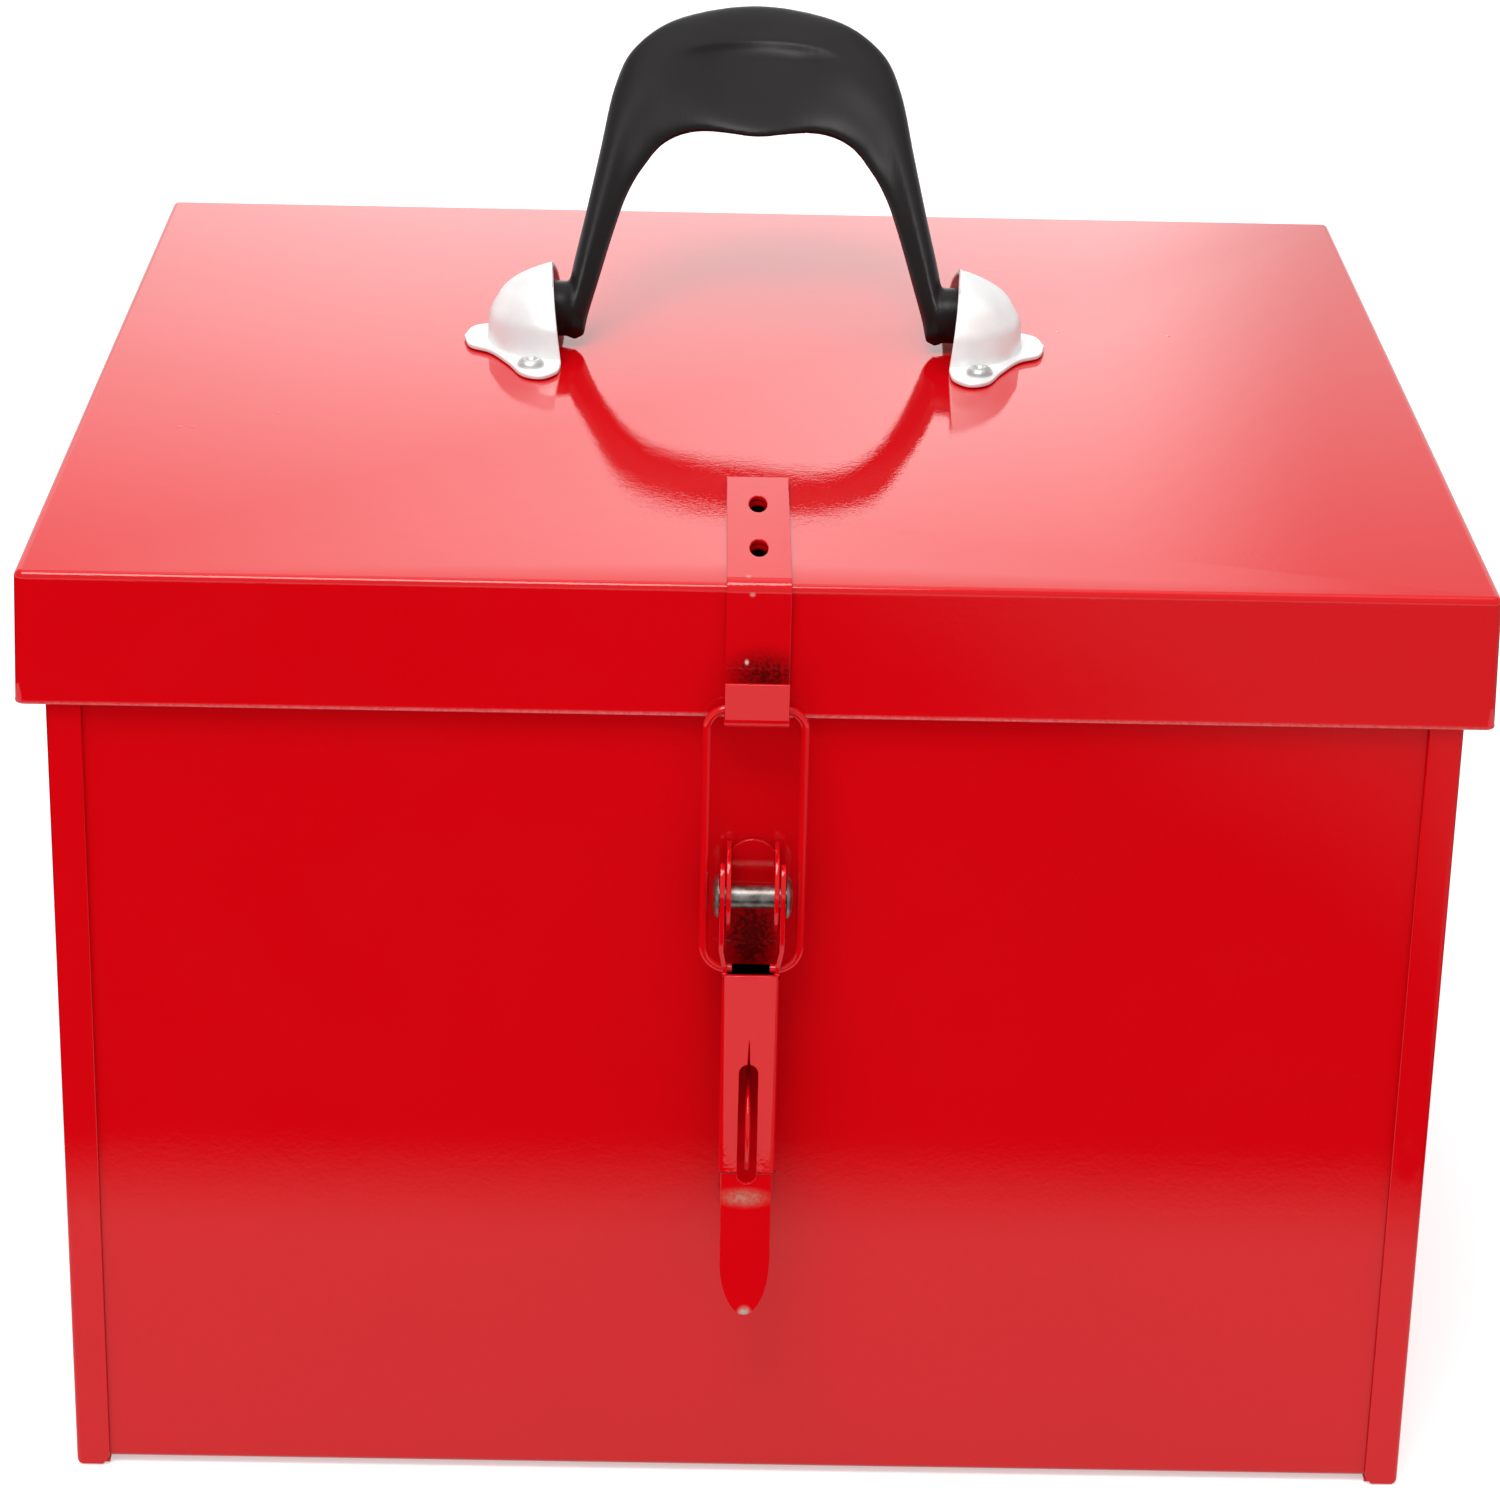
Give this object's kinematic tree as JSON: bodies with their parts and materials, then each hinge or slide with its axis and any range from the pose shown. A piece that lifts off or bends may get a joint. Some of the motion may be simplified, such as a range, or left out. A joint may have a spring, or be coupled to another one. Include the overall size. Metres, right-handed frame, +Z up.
{
  "type": "metal lunch box",
  "caption": "Painted sheet-steel box with a hinged lid, a draw latch with padlock staple on the front, and a folding plastic carry handle in pressed brackets.",
  "frame": {"origin": "on the surface the box stands on, under the middle of the whole object's bounding box", "axes": "+X to the right along the front, +Y from the latch side to the hinge side, +Z up"},
  "size_m": [0.352, 0.3498, 0.3195],
  "materials": {
    "red_paint": "gloss red enamel with fine orange peel",
    "zinc_plate": "bright zinc plate",
    "bare_steel": "dull bare steel",
    "black_plastic": "satin moulded plastic"
  },
  "bodies": {
    "box": {"body_shell": "red_paint", "end_panel_left": "red_paint", "end_panel_right": "red_paint", "hinge_leaf_lower": "red_paint", "hinge_pin": "bare_steel", "latch_base": "red_paint", "padlock_staple": "red_paint", "latch_pin": "bare_steel"},
    "lid": {"lid_pan": "red_paint", "hinge_leaf_upper": "red_paint", "catch_strap": "red_paint", "bracket_left": "zinc_plate", "bracket_right": "zinc_plate", "rivet_left_front": "zinc_plate", "rivet_left_rear": "zinc_plate", "rivet_right_front": "zinc_plate", "rivet_right_rear": "zinc_plate"},
    "handle": {"handle_grip": "black_plastic"},
    "lever": {"latch_lever": "red_paint"},
    "bail": {"latch_bail": "red_paint"}
  },
  "joints": [
    {"name": "lid_hinge", "type": "hinge", "parent": "box", "child": "lid", "pos_m": [0, 0.172, 0.2082], "axis": [-1, 0, 0], "range_deg": [0, 105]},
    {"name": "handle_pivot", "type": "hinge", "parent": "lid", "child": "handle", "pos_m": [0, 0.0321, 0.2525], "axis": [1, 0, 0], "range_deg": [-38, 132]},
    {"name": "latch_lever_pivot", "type": "hinge", "parent": "box", "child": "lever", "pos_m": [0, -0.1644, 0.1656], "axis": [-1, 0, 0], "range_deg": [0, 75]},
    {"name": "latch_bail_pivot", "type": "hinge", "parent": "lever", "child": "bail", "pos_m": [0, -0.1639, 0.1464], "axis": [-1, 0, 0], "range_deg": [-60, 0]}
  ],
  "couplings": [
    {"joint": "latch_bail_pivot", "follows": "latch_lever_pivot", "ratio": -0.778}
  ]
}
